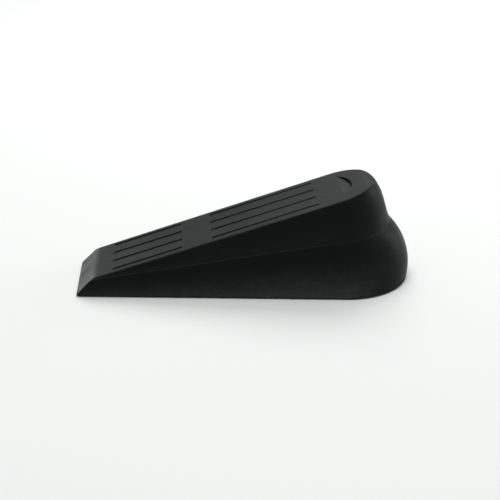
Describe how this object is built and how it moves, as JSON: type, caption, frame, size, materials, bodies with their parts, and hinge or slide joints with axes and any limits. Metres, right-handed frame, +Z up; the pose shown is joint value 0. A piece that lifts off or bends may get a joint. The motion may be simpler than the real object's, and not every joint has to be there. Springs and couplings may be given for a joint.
{
  "type": "door stop",
  "caption": "Heavy rubber door stop: a grooved wedge on a wider stepped foot with a round heel and a bevelled nose, to hold a door open by friction.",
  "frame": {"origin": "on the floor, under the centre of the whole object's box", "axes": "+X from the nose to the heel, +Y across the object, +Z up"},
  "size_m": [0.1284, 0.05, 0.0392],
  "materials": {
    "wedge_rubber": "satin moulded",
    "foot_rubber": "satin moulded",
    "pad_rubber": "matte grippy"
  },
  "bodies": {
    "root": {"wedge": "wedge_rubber", "foot": "foot_rubber", "grip_pad": "pad_rubber"}
  },
  "joints": []
}
